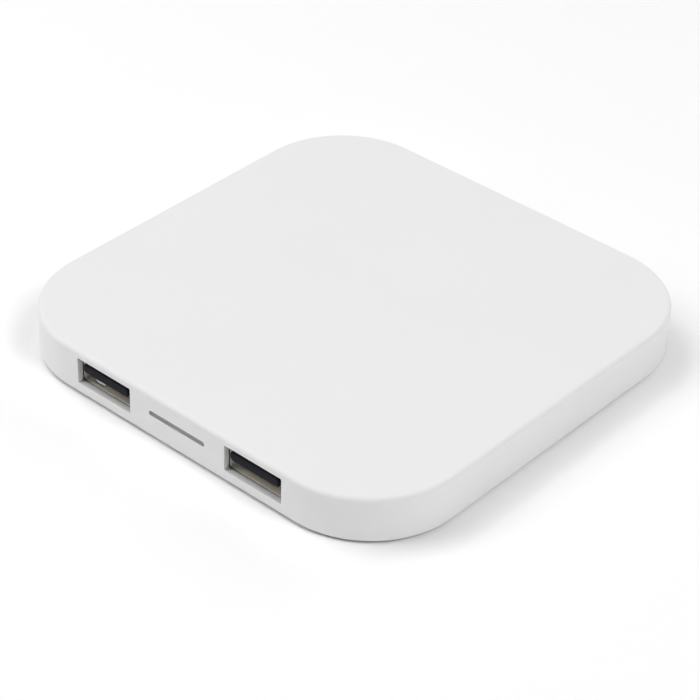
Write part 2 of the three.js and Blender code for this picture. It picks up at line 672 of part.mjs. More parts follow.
const CHIP_BLACK = 0x1c1c1e;
const CERAMIC = 0x9c7b58;
const { size: controllerSize, legsPerSide: controllerLegs } = PORT_CONTROLLER;
const controller = leggedChip(...controllerSize, controllerLegs, LEG_PITCH);
place("port_controller", controller, plastic(CHIP_BLACK), 0, PORT_CONTROLLER.y, CHIP_Z);
place("crystal", crystal(), metal(0xc9c9cc), 0, CRYSTAL.y, CHIP_Z);
const { side: flatSide, height: flatHeight, y: flatY } = WIRELESS_CONTROLLER;
const powerChip = flatChip(flatSide, flatHeight);
place("wireless_controller", powerChip, plastic(CHIP_BLACK), POWER_COLUMN_X, flatY, CHIP_Z);
BRIDGE_CHIP.places.forEach((y, i) => {
  const chip = leggedChip(...BRIDGE_CHIP.size, BRIDGE_CHIP.legsPerSide, LEG_PITCH);
  place(`bridge_chip_${i + 1}`, chip, plastic(CHIP_BLACK), POWER_COLUMN_X, y, CHIP_Z);
});
for (let i = 0; i < RESONANT_CAPACITOR.count; i += 1) {
  const y = RESONANT_CAPACITOR.firstY + RESONANT_CAPACITOR.pitch * i;
  const capacitor = chipCapacitor(...RESONANT_CAPACITOR.size);
  place(`resonant_capacitor_${i + 1}`, capacitor, plastic(CERAMIC), -POWER_COLUMN_X, y, CHIP_Z);
}
place("choke", choke(CHOKE.side, CHOKE.height), plastic(0x4a4a4d, 0.7), -POWER_COLUMN_X, CHOKE.y, CHIP_Z);
[-1, 1].forEach((side, i) => {
  const { size, offset, y } = INPUT_CAPACITOR;
  place(`input_capacitor_${i + 1}`, chipCapacitor(...size), plastic(CERAMIC), side * offset, y, CHIP_Z);
});

export default pad;
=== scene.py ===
"""Looks of a square wireless charging pad with two USB-A outlets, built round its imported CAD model.

The frame has +Z up, the outlets facing -Y, the power inlet facing +Y, and the table at z = 0.
Shapes are drawn in millimetres, and each finished piece is scaled to the frame's metres.
"""

import math

import bmesh
import bpy
from mathutils import Matrix, Vector
from mathutils.geometry import interpolate_bezier


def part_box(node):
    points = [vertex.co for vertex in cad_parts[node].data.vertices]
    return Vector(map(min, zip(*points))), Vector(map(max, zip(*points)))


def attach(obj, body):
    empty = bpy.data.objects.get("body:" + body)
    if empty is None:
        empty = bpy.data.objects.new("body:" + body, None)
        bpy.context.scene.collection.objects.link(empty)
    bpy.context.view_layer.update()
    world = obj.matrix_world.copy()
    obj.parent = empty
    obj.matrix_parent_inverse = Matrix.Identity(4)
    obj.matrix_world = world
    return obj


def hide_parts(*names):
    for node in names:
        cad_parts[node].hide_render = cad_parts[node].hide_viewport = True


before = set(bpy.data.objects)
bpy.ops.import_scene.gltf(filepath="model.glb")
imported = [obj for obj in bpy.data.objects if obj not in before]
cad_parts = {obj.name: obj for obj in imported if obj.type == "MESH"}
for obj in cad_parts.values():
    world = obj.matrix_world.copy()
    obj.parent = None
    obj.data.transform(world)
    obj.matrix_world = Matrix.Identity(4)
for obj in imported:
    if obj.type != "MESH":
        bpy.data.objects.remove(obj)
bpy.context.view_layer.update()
MM = 0.001


def node_box(node):
    """A node's lowest and highest corners, in millimetres."""
    low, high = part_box(node)
    return low / MM, high / MM


def node_middle(node):
    """The middle of a node's box, in millimetres."""
    return sum(node_box(node), Vector()) / 2


# -------------------- sizes and places, in millimetres

shell_low, shell_high = node_box("top_shell")
SIDE = shell_high.x - shell_low.x
BODY_BOTTOM = shell_low.z
BODY_TOP = shell_high.z
FRONT = shell_low.y
BACK = shell_high.y
WALL = 1.2
CEILING = BODY_TOP - WALL
BODY_CORNER = 18.2
TOP_ROUNDING = 0.9
RIM_ROUNDING = 0.42
OPENING_ROUNDING = 0.1

COVER_GAP = 0.15
COVER_THICKNESS = 1.2
COVER_RIB_PLACES = (-20, 0, 20)
COVER_RIB_REACH = 38

board_low, board_high = node_box("main_board")
SOLDER = 0.05
CHIP_Z = board_high.z + SOLDER
BOSS_RADIUS = 2.7
SCREW_HEAD_HEIGHT = 0.8
CORNERS = {corner: node_middle(f"foot_{corner}").xy
           for corner in ("front_left", "front_right", "back_left", "back_right")}

# Openings, sections and tongues are given as width, height and corner radius
SHEET = 0.3
OUTLETS = {side: node_middle(f"usb_a_shell_{side}") for side in ("left", "right")}
OUTLET_OPENING = (12.8, 5.2, 0.25)
OUTLET_OUTSIDE = (13.1, 5.72, 0.65)
OUTLET_BLOCK_LENGTH = 4.5
TONGUE = (11.1, 1.84, 0.75)
TONGUE_TOP = 6.89
SPRING_X = 3.3
# The one spring that stands further out: its outlet, its wall (-1 is the lower) and its place in X
PROUD_SPRING = ("left", -1, -SPRING_X)

SLIT_OPENING = (13.0, 1.0, 0.48)
SLIT_Z = node_middle("light_guide").z

inlet_low, inlet_high = node_box("micro_usb_shell")
INLET_Z = (inlet_low.z + inlet_high.z) / 2
INLET_OPENING = (8.2, 3.3, 1.1)
INLET_OUTSIDE = (7.5, 2.6, 0.9)
INLET_TONGUE = (3.7, 0.6, 0.12)

COIL_Z = 7.4
COIL_LEAD_X = 3

# Cutting bodies reach at least this far past the surface they cut
PAST = 1

# -------------------- outlines and rings


def arc(centre, radius, start, end, steps):
    """Points along an arc, from start to end in degrees."""
    angles = [math.radians(start + (end - start) * i / steps) for i in range(steps + 1)]
    return [(centre[0] + radius * math.cos(a), centre[1] + radius * math.sin(a)) for a in angles]


def rounded_outline(width, height, radius, steps):
    """Points of a rounded rectangle, centred on zero, counter-clockwise."""
    x, y = width / 2 - radius, height / 2 - radius
    points = []
    for quarter, centre in enumerate(((x, y), (-x, y), (-x, -y), (x, -y))):
        points += arc(centre, radius, 90 * quarter, 90 * quarter + 90, steps)
    return points


def rounded_polygon(corners, radius, steps=4):
    """A polygon whose corners are rounded by curves that start at radius from each corner."""
    points = []
    for i, corner in enumerate(corners):
        here = Vector((*corner, 0))
        before = Vector((*corners[i - 1], 0)) - here
        after = Vector((*corners[(i + 1) % len(corners)], 0)) - here
        start, end = here + before.normalized() * radius, here + after.normalized() * radius
        curve = interpolate_bezier(start, here.lerp(start, 0.45), here.lerp(end, 0.45), end, steps + 1)
        points += [(point.x, point.y) for point in curve]
    return points


def plan_ring(width, depth, corner, z, inset=0.0, steps=6, centre=(0.0, 0.0)):
    """A rounded rectangle in plan at one height, taken in by inset."""
    outline = rounded_outline(width - 2 * inset, depth - 2 * inset, max(corner - inset, 0.01), steps)
    return [(centre[0] + x, centre[1] + y, z) for x, y in outline]


def wall_ring(outline, y, x=0.0, z=0.0):
    """An outline drawn in X and Z, placed at one Y."""
    return [(x + px, y, z + pz) for px, pz in outline]


# -------------------- solids


def loft(bm, rings, loop=False):
    """Joins rings of equally many points by quads. Its ends are closed, or joined to each other by loop."""
    made = [[bm.verts.new(point) for point in ring] for ring in rings]
    pairs = list(zip(made, made[1:]))
    if loop:
        pairs.append((made[-1], made[0]))
    for low, high in pairs:
        count = len(low)
        for i in range(count):
            j = (i + 1) % count
            bm.faces.new((low[i], low[j], high[j], high[i]))
    if not loop:
        bm.faces.new(list(reversed(made[0])))
        bm.faces.new(made[-1])


def plate(bm, width, depth, corner, bottom, top, edge, steps=6, centre=(0.0, 0.0)):
    """A plate with rounded corners and softened top and bottom edges."""
    profile = arc((edge, bottom + edge), edge, 270, 180, 2) + arc((edge, top - edge), edge, 180, 90, 2)
    loft(bm, [plan_ring(width, depth, corner, z, inset, steps, centre) for inset, z in profile])


def bar(bm, outline, front, back, x=0.0, z=0.0):
    """A bar along Y of one section, drawn in X and Z."""
    loft(bm, [wall_ring(outline, y, x, z) for y in (front, back)])


def soft_bar(bm, size, front, back, edge, x=0.0, z=0.0, steps=5):
    """A bar along Y of rounded rectangular section, whose front and back edges are softened."""
    width, height, corner = size
    profile = arc((edge, front + edge), edge, 270, 180, 3) + arc((edge, back - edge), edge, 180, 90, 3)
    rings = []
    for inset, y in profile:
        outline = rounded_outline(width - 2 * inset, height - 2 * inset, max(corner - inset, 0.02), steps)
        rings.append(wall_ring(outline, y, x, z))
    loft(bm, rings)


def box(bm, low, high):
    """A box between two corners."""
    corners = [(low[0], low[1]), (high[0], low[1]), (high[0], high[1]), (low[0], high[1])]
    loft(bm, [[(x, y, z) for x, y in corners] for z in (low[2], high[2])])


def turned(bm, profile, centre=(0.0, 0.0), steps=48):
    """A turned solid from (radius, height) pairs, with a flat disc at each end."""
    angles = [2 * math.pi * i / steps for i in range(steps)]
    loft(bm, [[(centre[0] + r * math.cos(a), centre[1] + r * math.sin(a), z) for a in angles]
              for r, z in profile])


def post(bm, x, y, bottom, top, radius, steps=36):
    """An upright round post."""
    turned(bm, [(radius, bottom), (radius, top)], (x, y), steps)


def ribbon(bm, route, width, thickness, x=0.0, swap=False):
    """A bent metal strip with soft edges. Its route is drawn in Y and Z, or in X and Z round y = x with swap."""
    section = rounded_outline(width, thickness, thickness * 0.3, 2)
    points = [Vector(point) for point in route]
    rings = []
    for i, here in enumerate(points):
        ahead = points[min(i + 1, len(points) - 1)] - points[max(i - 1, 0)]
        normal = Vector((-ahead.y, ahead.x)).normalized()
        ring = []
        for across, out in section:
            along, up = here + normal * out
            ring.append((along, x + across, up) if swap else (x + across, along, up))
        rings.append(ring)
    loft(bm, rings)


def smooth_route(points, steps=5):
    """A smooth flat line through the given points."""
    last = len(points) - 1
    route = []
    for i in range(last):
        before, start, end, after = (Vector((*points[max(0, min(last, i + k))], 0)) for k in (-1, 0, 1, 2))
        curve = interpolate_bezier(start, start + (end - before) / 6, end - (after - start) / 6, end, steps + 1)
        route += [(point.x, point.y) for point in curve[:-1]]
    return route + [tuple(points[-1])]


# -------------------- pieces


def link(name, bm):
    """Turns a bmesh into an object that is linked to the scene."""
    bmesh.ops.recalc_face_normals(bm, faces=bm.faces)
    mesh = bpy.data.meshes.new(name)
    bm.to_mesh(mesh)
    bm.free()
    piece = bpy.data.objects.new(name, mesh)
    bpy.context.scene.collection.objects.link(piece)
    return piece


def boolean(piece, tool_bm, operation):
    """Joins or cuts a piece with closed bodies, and keeps the result as its mesh."""
    tool = link(piece.name + "_tool", tool_bm)
    modifier = piece.modifiers.new("boolean", "BOOLEAN")
    modifier.operation = operation
    modifier.solver = "EXACT"
    modifier.use_self = True
    modifier.object = tool
    bpy.context.view_layer.update()
    evaluated = piece.evaluated_get(bpy.context.evaluated_depsgraph_get())
    result = bpy.data.meshes.new_from_object(evaluated)
    piece.modifiers.remove(modifier)
    unused = [piece.data, tool.data]
    piece.data = result
    bpy.data.objects.remove(tool)
    for mesh in unused:
        bpy.data.meshes.remove(mesh)


def build(name, whole, joined=None, cut=None):
    """A piece from a drawing function, with other bodies joined to it and then cut from it."""
    bm = bmesh.new()
    whole(bm)
    piece = link(name, bm)
    for draw, operation in ((joined, "UNION"), (cut, "DIFFERENCE")):
        if draw:
            tool = bmesh.new()
            draw(tool)
            boolean(piece, tool, operation)
    return piece


def round_edges(piece, chosen, width, segments=3):
    """Rounds the edges for which chosen(edge) is true."""
    bm = bmesh.new()
    bm.from_mesh(piece.data)
    bmesh.ops.remove_doubles(bm, verts=bm.verts, dist=1e-4)
    edges = [edge for edge in bm.edges if chosen(edge)]
    bmesh.ops.bevel(bm, geom=edges, offset=width, segments=segments, profile=0.5, affect="EDGES",
                    clamp_overlap=True)
    bm.to_mesh(piece.data)
    bm.free()


def dress(piece, material, slot, *stands_for, sharp_over=32):
    """Finishes a piece: its scale, shading and material, and the CAD nodes that it stands for."""
    mesh = piece.data
    mesh.transform(Matrix.Scale(MM, 4))
    mesh.shade_smooth()
    mesh.set_sharp_from_angle(angle=math.radians(sharp_over))
    flat_faces = piece.modifiers.new("flat_faces", "WEIGHTED_NORMAL")
    flat_faces.keep_sharp = True
    mesh.materials.clear()
    mesh.materials.append(material)
    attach(piece, "root")
    if stands_for:
        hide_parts(*stands_for)


# -------------------- materials


class Finish:
    """A node material with one Principled shader, built up by small calls. Lengths are in metres."""

    def __init__(self, name, color, roughness, metallic=0.0):
        self.material = bpy.data.materials.new(name)
        self.material.use_nodes = True
        self.tree = self.material.node_tree
        self.shader = self.tree.nodes["Principled BSDF"]
        self.color = color
        self.set("Base Color", (*color, 1.0))
        self.set("Roughness", roughness)
        self.set("Metallic", metallic)
        self.place = self.tree.nodes.new("ShaderNodeTexCoord").outputs["Object"]

    def set(self, socket, value):
        """Sets a constant on the shader."""
        self.shader.inputs[socket].default_value = value

    def noise(self, scale, detail=3.0, stretch=(1, 1, 1)):
        """Noise with about scale features to the metre, stretched along an axis where its number is small."""
        mapping = self.tree.nodes.new("ShaderNodeMapping")
        mapping.inputs["Scale"].default_value = stretch
        texture = self.tree.nodes.new("ShaderNodeTexNoise")
        texture.inputs["Scale"].default_value = scale
        texture.inputs["Detail"].default_value = detail
        self.tree.links.new(self.place, mapping.inputs["Vector"])
        self.tree.links.new(mapping.outputs["Vector"], texture.inputs["Vector"])
        return texture.outputs["Fac"]

    def spread(self, value, low, high):
        """Spreads a noise value between two numbers."""
        node = self.tree.nodes.new("ShaderNodeMapRange")
        node.inputs["From Min"].default_value = 0.3
        node.inputs["From Max"].default_value = 0.7
        node.inputs["To Min"].default_value = low
        node.inputs["To Max"].default_value = high
        self.tree.links.new(value, node.inputs["Value"])
        return node.outputs["Result"]

    def vary_color(self, value, amount):
        """Darkens and lightens the base colour by up to amount."""
        darker = [c * (1 - amount) for c in self.color]
        lighter = [min(1.0, c * (1 + amount)) for c in self.color]
        self.mix_color(self.spread(value, 0.0, 1.0), darker, lighter)

    def mix_color(self, factor, low, high):
        """Blends the base colour from low to high as the factor rises from 0 to 1."""
        mix = self.tree.nodes.new("ShaderNodeMix")
        mix.data_type = "RGBA"
        mix.inputs["A"].default_value = (*low, 1.0)
        mix.inputs["B"].default_value = (*high, 1.0)
        self.tree.links.new(factor, mix.inputs["Factor"])
        self.tree.links.new(mix.outputs["Result"], self.shader.inputs["Base Color"])

    def vary_roughness(self, value, low, high):
        """Spreads the roughness between two numbers."""
        self.tree.links.new(self.spread(value, low, high), self.shader.inputs["Roughness"])

    def bump(self, value, height):
        """Raises the surface by up to height."""
        node = self.tree.nodes.new("ShaderNodeBump")
        node.inputs["Distance"].default_value = height
        self.tree.links.new(value, node.inputs["Height"])
        self.tree.links.new(node.outputs["Normal"], self.shader.inputs["Normal"])


def moulded(name, color, roughness, grain=4500, height=4e-6, tint=0.006, specular=0.5):
    """Moulded plastic or rubber with a fine grain from its mould."""
    finish = Finish(name, color, roughness)
    finish.set("Specular IOR Level", specular)
    finish.vary_color(finish.noise(60), tint)
    finish.vary_roughness(finish.noise(220), roughness - 0.04, roughness + 0.04)
    finish.bump(finish.noise(grain, 2), height)
    return finish.material


def sheet_metal(name, color, roughness, stretch=(1, 12, 1), tint=0.05, metallic=1.0):
    """Bright metal with faint rolling marks along one axis."""
    finish = Finish(name, color, roughness, metallic)
    marks = finish.noise(900, 4, stretch)
    finish.vary_color(finish.noise(250), tint)
    finish.vary_roughness(marks, roughness - 0.07, roughness + 0.07)
    finish.bump(marks, 1.5e-6)
    return finish.material


def board_mask():
    """Green solder mask over copper: squarish fills with dark gaps between them, and small filled holes."""
    finish = Finish("board_mask", (0.018, 0.15, 0.055), 0.32)
    tree = finish.tree

    def cells(scale, feature, jitter, distance="EUCLIDEAN"):
        """The distance from the edges or the middles of scattered cells."""
        node = tree.nodes.new("ShaderNodeTexVoronoi")
        node.feature = feature
        node.distance = distance
        node.inputs["Scale"].default_value = scale
        node.inputs["Randomness"].default_value = jitter
        tree.links.new(finish.place, node.inputs["Vector"])
        return node.outputs["Distance"]

    def below(value, limit, soft):
        """1 where the value is under the limit and 0 over it, with a soft step between."""
        node = tree.nodes.new("ShaderNodeMapRange")
        for socket, number in (("From Min", limit + soft), ("From Max", limit - soft)):
            node.inputs[socket].default_value = number
        tree.links.new(value, node.inputs["Value"])
        return node.outputs["Result"]

    gaps = below(cells(110, "DISTANCE_TO_EDGE", 0.9), 0.022, 0.006)
    finish.mix_color(gaps, (0.02, 0.17, 0.062), (0.015, 0.13, 0.048))
    finish.vary_roughness(finish.noise(400), 0.26, 0.4)
    finish.bump(below(cells(240, "F1", 0.75, "CHEBYCHEV"), 0.05, 0.012), 3e-5)
    return finish.material


WHITE_SHELL = moulded("white_shell", (0.78, 0.78, 0.78), 0.65, 4500, 4e-6, 0.004, 0.3)
WHITE_COVER = moulded("white_cover", (0.74, 0.74, 0.74), 0.6, 3200, 8e-6)
GREY_RUBBER = moulded("grey_rubber", (0.27, 0.27, 0.275), 0.85, 2500, 1.5e-5, 0.06)
LIGHT_WINDOW = moulded("light_window", (0.235, 0.235, 0.237), 0.42, 5200, 2e-6, 0.03)
LED_RESIN = moulded("led_resin", (0.8, 0.76, 0.62), 0.3, 3000, 2e-6, 0.02)
BLACK_INSULATOR = moulded("black_insulator", (0.008, 0.009, 0.013), 0.55, 6000, 3e-6, 0.1, 0.1)
CHIP_EPOXY = moulded("chip_epoxy", (0.02, 0.02, 0.022), 0.55, 9000, 6e-6, 0.12)
CHIP_CERAMIC = moulded("chip_ceramic", (0.33, 0.2, 0.11), 0.45, 7000, 4e-6, 0.06)
FERRITE = moulded("ferrite_grey", (0.045, 0.045, 0.05), 0.7, 3500, 8e-6, 0.15)
CHOKE_FERRITE = moulded("choke_ferrite", (0.07, 0.068, 0.07), 0.75, 5000, 1.2e-5, 0.15)
ADHESIVE = moulded("adhesive_film", (0.72, 0.68, 0.56), 0.6, 1500, 5e-6, 0.04)
PORT_STEEL = sheet_metal("port_steel", (0.94, 0.92, 0.88), 0.42, (1, 12, 1), 0.04, 0.25)
SCREW_STEEL = sheet_metal("screw_steel", (0.5, 0.5, 0.51), 0.34, (1, 1, 6))
CRYSTAL_CAN = sheet_metal("crystal_can", (0.68, 0.68, 0.67), 0.36, (3, 1, 1))
TINNED_LEGS = sheet_metal("tinned_legs", (0.66, 0.66, 0.65), 0.45)
CONTACT_GOLD = sheet_metal("contact_gold", (0.83, 0.62, 0.26), 0.24)
COIL_COPPER = sheet_metal("coil_copper", (0.78, 0.36, 0.2), 0.38, (1, 1, 1), 0.12)
BOARD_MASK = board_mask()

# -------------------- housing


def top_shell():
    """One moulding: flat top, rounded edge, side walls and rim, then up the inside to the ceiling."""
    top = arc((TOP_ROUNDING, BODY_TOP - TOP_ROUNDING), TOP_ROUNDING, 90, 180, 10)
    rim = arc((RIM_ROUNDING, BODY_BOTTOM + RIM_ROUNDING), RIM_ROUNDING, 180, 270, 5)
    inner_rim = arc((WALL - 0.15, BODY_BOTTOM + 0.15), 0.15, 270, 360, 3)
    cove = arc((WALL + 0.4, CEILING - 0.4), 0.4, 180, 90, 5)
    flat_top = [(inset, BODY_TOP) for inset in (16, 10, 5, 2, TOP_ROUNDING + 0.06)]
    flat_ceiling = [(inset, CEILING) for inset in (3, 8, 16)]
    profile = flat_top + top + rim + inner_rim + cove + flat_ceiling
    ferrite_bottom, ferrite_half = node_box("ferrite_sheet")[0].z, node_box("ferrite_sheet")[1].x
    near, far, leg = ferrite_half + 0.2, ferrite_half + 1.0, 5
    rib = [(far - leg, near), (near, near), (near, far - leg), (far, far - leg), (far, far), (far - leg, far)]
    screw_hole_radius, screw_hole_top = 1.0, 7.3

    def walls(bm):
        loft(bm, [plan_ring(SIDE, SIDE, BODY_CORNER, z, inset, 28) for inset, z in profile])

    def bosses_and_ribs(bm):
        for x, y in CORNERS.values():
            post(bm, x, y, board_low.z, CEILING + 0.5, BOSS_RADIUS)
            sx, sy = math.copysign(1, x), math.copysign(1, y)
            loft(bm, [[(sx * px, sy * py, z) for px, py in rib] for z in (ferrite_bottom, CEILING + 0.3)])

    def holes(bm):
        outside, inside = 2 * PAST, 2 * WALL
        for x, y in CORNERS.values():
            post(bm, x, y, BODY_BOTTOM + 0.5, screw_hole_top, screw_hole_radius, 24)
        for place in OUTLETS.values():
            bar(bm, rounded_outline(*OUTLET_OPENING, 5), FRONT - outside, FRONT + inside, place.x, place.z)
        bar(bm, rounded_outline(*SLIT_OPENING, 10), FRONT - outside, FRONT + inside, 0, SLIT_Z)
        bar(bm, rounded_outline(*INLET_OPENING, 10), BACK - inside, BACK + outside, 0, INLET_Z)

    def on_opening(edge):
        """True for an opening's outline in the outer face."""
        ends = [vertex.co.y for vertex in edge.verts]
        outside = all(abs(abs(y) - BACK) < 1e-3 for y in ends)
        return outside and len(edge.link_faces) == 2 and edge.calc_face_angle(0.0) > math.radians(60)

    piece = build("shell_top", walls, bosses_and_ribs, holes)
    round_edges(piece, on_opening, OPENING_ROUNDING)
    dress(piece, WHITE_SHELL, "shell_plastic", "top_shell")


def base_cover():
    """The flat cover inside the rim, with a recess, a screw pocket and a boss in each corner."""
    low, high = node_box("base_cover")
    side, corner = high.x - low.x, BODY_CORNER - WALL - COVER_GAP
    bottom, top = low.z, low.z + COVER_THICKNESS
    sunk = top - 0.4
    recess_top = node_box("foot_front_left")[1].z + 0.05
    head_top = node_box("screw_front_left")[0].z + SCREW_HEAD_HEIGHT + 0.05
    boss_radius, recess_radius, head_radius, hole_radius = 3.8, 4.65, 2.1, 1.1

    def sheet(bm):
        plate(bm, side, side, corner, bottom, top, 0.15, 24)

    def bosses_and_ribs(bm):
        for x, y in CORNERS.values():
            turned(bm, [(boss_radius, sunk), (boss_radius, high.z - 0.15), (boss_radius - 0.15, high.z)], (x, y))
        for x in COVER_RIB_PLACES:
            box(bm, (x - 0.5, -COVER_RIB_REACH, sunk), (x + 0.5, COVER_RIB_REACH, top + 0.35))
        for y in COVER_RIB_PLACES:
            box(bm, (-COVER_RIB_REACH, y - 0.5, sunk), (COVER_RIB_REACH, y + 0.5, top + 0.3))

    def recesses(bm):
        profile = [(recess_radius + 0.15, -PAST), (recess_radius + 0.15, bottom),
                   (recess_radius, bottom + 0.15), (recess_radius, recess_top),
                   (head_radius, recess_top), (head_radius, head_top),
                   (hole_radius, head_top), (hole_radius, high.z + PAST)]
        for x, y in CORNERS.values():
            turned(bm, profile, (x, y))

    piece = build("cover_base", sheet, bosses_and_ribs, recesses)
    dress(piece, WHITE_COVER, "cover_plastic", "base_cover")


def rubber_foot(corner):
    """A round pad with a soft lower edge and a shallow ring pressed into its face."""
    low, high = node_box(f"foot_{corner}")
    radius = (high.x - low.x) / 2
    lower_edge = arc((radius - 0.3, 0.3), 0.3, 270, 360, 6)
    groove = [(radius - 1.25, 0.0), (radius - 1.2, 0.05), (radius - 0.95, 0.05), (radius - 0.9, 0.0)]
    profile = [(0.8, 0.0), (radius - 1.6, 0.0), *groove, (radius - 0.5, 0.0), *lower_edge,
               (radius, high.z - 0.12), (radius - 0.12, high.z), (radius - 1, high.z), (0.8, high.z)]
    piece = build(f"rubber_{corner}", lambda bm: turned(bm, profile, CORNERS[corner], 64))
    dress(piece, GREY_RUBBER, "foot_rubber", f"foot_{corner}")


def threaded_screw(corner):
    """A pan-head screw that points up: tapered cross recess, plain neck, helical thread and blunt tip."""
    low, high = node_box(f"screw_{corner}")
    centre = CORNERS[corner]
    head_radius, core, crest, pitch, steps = (high.x - low.x) / 2, 0.72, 0.9, 0.55, 36
    head_top = low.z + SCREW_HEAD_HEIGHT
    arm_length, arm_width = 1.15, 0.24
    dome = arc((head_radius - 0.35, low.z + 0.35), 0.35, 270, 360, 6)
    head = [(0.3, low.z), (1.2, low.z), *dome, (head_radius, head_top - 0.05),
            (head_radius - 0.05, head_top), (core, head_top)]

    def body(bm):
        rings = [[(r * math.cos(2 * math.pi * i / steps), r * math.sin(2 * math.pi * i / steps), z)
                  for i in range(steps)] for r, z in head]
        thread_start, thread_end = head_top + 0.3, high.z - 0.5
        count = round((high.z - head_top) / pitch * 8)
        for k in range(1, count + 1):
            z = head_top + (high.z - head_top) * k / count
            ring = []
            for i in range(steps):
                turn = i / steps
                wave = abs(((z / pitch - turn) % 1.0) * 2 - 1)
                fade = min(1.0, max(0.0, (z - thread_start) / 0.4)) * min(1.0, max(0.0, (high.z - z) / 0.9))
                taper = 1.0 if z < thread_end else 1.0 - 0.35 * (z - thread_end) / (high.z - thread_end)
                r = (core + (crest - core) * wave * fade) * taper
                ring.append((r * math.cos(2 * math.pi * turn), r * math.sin(2 * math.pi * turn), z))
            rings.append(ring)
        loft(bm, [[(centre.x + x, centre.y + y, z) for x, y, z in ring] for ring in rings])

    def cross(bm):
        for along_x in (True, False):
            rings = []
            for z, taper in ((low.z - 0.5, 1.0), (low.z, 1.0), (low.z + 0.5, 0.55)):
                reach = arm_length * taper
                half_x, half_y = (reach, arm_width) if along_x else (arm_width, reach)
                rings.append([(centre.x + sx * half_x, centre.y + sy * half_y, z)
                              for sx, sy in ((-1, -1), (1, -1), (1, 1), (-1, 1))])
            loft(bm, rings)

    piece = build(f"pan_screw_{corner}", body, None, cross)
    dress(piece, SCREW_STEEL, "screw_steel", f"screw_{corner}")


# -------------------- status light


def status_light():
    """The grey bar in the slit with its flange behind the wall, and the two LEDs that light it."""
    low, high = node_box("light_guide")
    width, height, corner = SLIT_OPENING
    flange_front = FRONT + WALL + 0.1
    bar_size = (width - 0.2, height - 0.2, corner - 0.09)
    flange_size = (high.x - low.x, high.z - low.z, 0.3)
    piece = build(
        "light_bar",
        lambda bm: soft_bar(bm, bar_size, low.y, flange_front + 0.4, 0.07, 0, SLIT_Z, 8),
        lambda bm: soft_bar(bm, flange_size, flange_front, high.y, 0.1, 0, SLIT_Z),
    )
    dress(piece, LIGHT_WINDOW, "light_plastic", "light_guide")
    for side in ("left", "right"):
        low, high = node_box(f"status_led_{side}")
        x, z = (low.x + high.x) / 2, (low.z + high.z) / 2

        def window(bm):
            rings = [wall_ring(rounded_outline(w, h, 0.15, 3), y, x, z)
                     for w, h, y in ((2.6, 0.75, low.y - 1), (2.6, 0.75, low.y), (2.1, 0.45, low.y + 0.28))]
            loft(bm, rings)

        body_size = (high.x - low.x, high.z - low.z, 0.1)
        piece = build(f"side_led_{side}",
                      lambda bm: soft_bar(bm, body_size, low.y, high.y, 0.05, x, z, 2), None, window)
        dress(piece, LED_RESIN, "led_package", f"status_led_{side}")


# -------------------- USB-A outlets


def folded_tube(bm, section, front, back, x, z):
    """A sheet-metal tube along Y with softened mouth edges. section(inset) gives its outline in X and Z."""
    soft = SHEET / 3
    mouth = [(0, soft), (soft * 0.3, soft * 0.3), (soft, 0), (SHEET - soft, 0), (SHEET - soft * 0.3, soft * 0.3),
             (SHEET, soft)]
    profile = [(inset, front + y) for inset, y in mouth] + [(inset, back - y) for inset, y in reversed(mouth)]
    loft(bm, [wall_ring(section(inset), y, x, z) for inset, y in profile], loop=True)


def outlet_section(inset):
    """The outline of the outlet's steel shell, taken in by inset."""
    width, height, corner = OUTLET_OUTSIDE
    return rounded_outline(width - 2 * inset, height - 2 * inset, corner - inset, 6)


def outlet_shell(side):
    """The bent steel shell: spring fingers in its top and bottom walls, a window in each side, and four solder tabs.
    """
    low, high = node_box(f"usb_a_shell_{side}")
    place = OUTLETS[side]
    half_width, half_height = OUTLET_OUTSIDE[0] / 2, OUTLET_OUTSIDE[1] / 2
    root, tip = low.y + 7.2, low.y + 1.7
    across = (-SPRING_X, SPRING_X)

    def proud(sign, dx):
        return (side, sign, dx) == PROUD_SPRING

    def tube(bm):
        folded_tube(bm, outlet_section, low.y, high.y, place.x, place.z)

    def windows(bm):
        for dx in across:
            middle = place.x + dx
            for sign in (-1, 1):
                wall = sorted((place.z + sign * (half_height - 1), place.z + sign * (half_height + 1)))
                front = tip - 1.2 if proud(sign, dx) else tip - 0.35
                box(bm, (middle - 1.3, front, wall[0]), (middle + 1.3, root, wall[1]))
        for sign in (-1, 1):
            wall = sorted((place.x + sign * (half_width - 1), place.x + sign * (half_width + 1)))
            box(bm, (wall[0], tip + 1.2, place.z - 0.25), (wall[1], root, place.z + 1.75))

    def fingers_and_tabs(bm):
        for sign in (-1, 1):
            for dx in across:
                depth, end, width = (0.62, tip - 0.9, 2.4) if proud(sign, dx) else (0.42, tip, 2.0)
                level = half_height - SHEET / 2
                bend = [(root + 0.4, 0), (root, 0), (root - 1.2, 0.08), (tip + 1.4, depth), (end + 0.7, depth),
                        (end, depth * 0.35)]
                route = smooth_route([(y, place.z + sign * (level - inward)) for y, inward in bend])
                ribbon(bm, route, width, SHEET * 0.9, place.x + dx)
        for y in (low.y + 3.7, low.y + 9.7):
            for sign in (-1, 1):
                route = [(place.x + sign * x, CHIP_Z + SHEET / 2)
                         for x in (half_width - SHEET * 0.6, half_width + 0.35, half_width + 0.8, half_width + 1.25)]
                ribbon(bm, route, 2.2, SHEET * 0.95, y + 1.1, swap=True)

    piece = build(f"outlet_shell_{side}", tube, None, windows)
    tool = bmesh.new()
    fingers_and_tabs(tool)
    boolean(piece, tool, "UNION")
    dress(piece, PORT_STEEL, "port_steel", f"usb_a_shell_{side}")


def outlet_contact_box(side, number):
    """A contact's middle in X, and its box's two corners."""
    low, high = node_box(f"usb_a_contact_{side}_{number}")
    return (low.x + high.x) / 2, low, high


